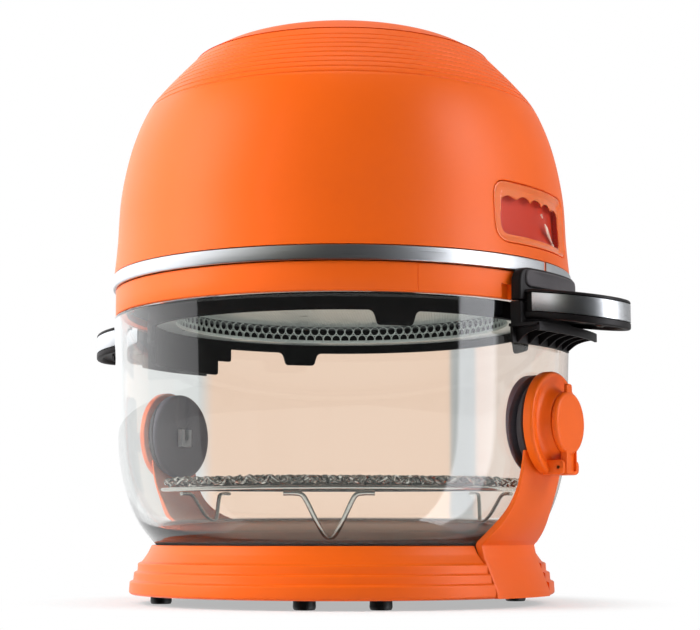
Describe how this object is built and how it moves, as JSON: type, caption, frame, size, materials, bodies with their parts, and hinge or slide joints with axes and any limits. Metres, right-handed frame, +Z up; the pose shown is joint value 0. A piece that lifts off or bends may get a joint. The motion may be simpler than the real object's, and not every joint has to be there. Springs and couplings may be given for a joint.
{
  "type": "hot-air deep fryer",
  "caption": "Countertop hot-air deep fryer: clear glass bowl with a wire rack on a stepped base, lift-off domed heating head with handles, and a magnetic spit drive.",
  "frame": {"origin": "centre of the footprint at table height, on the bowl's axis", "axes": "+Z up, front (display and flip cap) towards -Y, +X to the right seen from the front"},
  "size_m": [0.27, 0.3652, 0.3405],
  "materials": {
    "orange_plastic": "satin moulded",
    "black_plastic": "matte moulded",
    "seat_rubber": "matte",
    "grey_plastic": "satin moulded",
    "pale_plastic": "satin moulded",
    "brushed_metal": "brushed",
    "rack_wire": "bright drawn wire",
    "steel": "plain",
    "guard_metal": "pressed and perforated",
    "bowl_glass": "clear",
    "display_frame": "gloss",
    "display_dark_red": "gloss",
    "needle_white": "printed",
    "circuit_board": "lacquered"
  },
  "bodies": {
    "base": {"base_shell": "orange_plastic", "base_floor": "black_plastic", "bowl_seat": "seat_rubber", "foot_1": "seat_rubber", "foot_2": "seat_rubber", "foot_3": "seat_rubber", "foot_4": "seat_rubber", "foot_5": "seat_rubber", "foot_6": "seat_rubber", "front_arm": "orange_plastic", "rear_arm": "orange_plastic", "front_arm_cover": "black_plastic", "rear_arm_cover": "black_plastic", "cap_hinge_pin": "steel", "drive_motor": "steel"},
    "drive_cap": {"drive_cap": "orange_plastic"},
    "front_rotor": {"front_magnet_rotor": "steel"},
    "rear_rotor": {"rear_magnet_rotor": "steel"},
    "bowl": {"glass_bowl": "bowl_glass", "front_holder_disc": "grey_plastic", "rear_holder_disc": "grey_plastic"},
    "front_socket": {"front_spit_socket": "pale_plastic"},
    "rear_socket": {"rear_spit_socket": "pale_plastic"},
    "rack": {"rack_rim": "rack_wire", "rack_mesh": "rack_wire", "rack_leg_1": "rack_wire", "rack_leg_2": "rack_wire", "rack_leg_3": "rack_wire"},
    "head": {"dome_shell": "orange_plastic", "top_cap": "orange_plastic", "trim_band": "brushed_metal", "lower_ring": "orange_plastic", "inner_liner": "black_plastic", "heat_shield": "steel", "guard_mesh": "guard_metal", "heater_coil": "steel", "fan_motor": "steel", "temperature_probe": "steel", "control_board": "circuit_board", "display_bezel": "display_frame", "display_face": "display_dark_red", "display_lens": "bowl_glass", "rear_vent": "orange_plastic", "power_inlet": "black_plastic", "front_handle": "black_plastic", "front_handle_lip": "black_plastic", "front_handle_trim": "brushed_metal", "front_pad_spring": "steel", "rear_handle": "black_plastic", "rear_handle_lip": "black_plastic", "rear_handle_trim": "brushed_metal", "rear_pad_spring": "steel"},
    "fan": {"motor_shaft": "steel", "convection_fan": "steel", "cooling_fan": "black_plastic"},
    "needle": {"needle": "needle_white"},
    "front_pad": {"front_thumb_pad": "grey_plastic"},
    "rear_pad": {"rear_thumb_pad": "grey_plastic"}
  },
  "joints": [
    {"name": "bowl_lift", "type": "slide", "parent": "base", "child": "bowl", "axis": [0, 0, 1], "range_m": [0, 0.1]},
    {"name": "rack_lift", "type": "slide", "parent": "bowl", "child": "rack", "axis": [0, 0, 1], "range_m": [0, 0.055]},
    {"name": "head_lift", "type": "slide", "parent": "bowl", "child": "head", "axis": [0, 0, 1], "range_m": [0, 0.12]},
    {"name": "cap_flip", "type": "hinge", "parent": "base", "child": "drive_cap", "pos_m": [0, -0.1458, 0.075], "axis": [1, 0, 0], "range_deg": [0, 110]},
    {"name": "spit_drive", "type": "hinge", "parent": "base", "child": "front_rotor", "pos_m": [0, -0.1363, 0.099], "axis": [0, 1, 0], "continuous": true},
    {"name": "idler_spin", "type": "hinge", "parent": "base", "child": "rear_rotor", "pos_m": [0, 0.1363, 0.099], "axis": [0, 1, 0], "continuous": true},
    {"name": "front_socket_spin", "type": "hinge", "parent": "bowl", "child": "front_socket", "pos_m": [0, -0.1204, 0.099], "axis": [0, 1, 0], "continuous": true},
    {"name": "rear_socket_spin", "type": "hinge", "parent": "bowl", "child": "rear_socket", "pos_m": [0, 0.1204, 0.099], "axis": [0, 1, 0], "continuous": true},
    {"name": "fan_spin", "type": "hinge", "parent": "head", "child": "fan", "pos_m": [0, 0, 0.23], "axis": [0, 0, 1], "continuous": true},
    {"name": "needle_swing", "type": "hinge", "parent": "head", "child": "needle", "pos_m": [0.03106, -0.12459, 0.2018], "axis": [-0.2419, 0.9703, 0], "range_deg": [-12, 30]},
    {"name": "front_pad_press", "type": "slide", "parent": "head", "child": "front_pad", "axis": [0, 1, 0], "range_m": [0, 0.0016], "stiffness_N_per_m": 400, "deforming": ["front_pad_spring"]},
    {"name": "rear_pad_press", "type": "slide", "parent": "head", "child": "rear_pad", "axis": [0, -1, 0], "range_m": [0, 0.0016], "stiffness_N_per_m": 400, "deforming": ["rear_pad_spring"]}
  ],
  "couplings": [
    {"joint": "idler_spin", "follows": "spit_drive", "ratio": 1},
    {"joint": "front_socket_spin", "follows": "spit_drive", "ratio": 1},
    {"joint": "rear_socket_spin", "follows": "spit_drive", "ratio": 1}
  ]
}
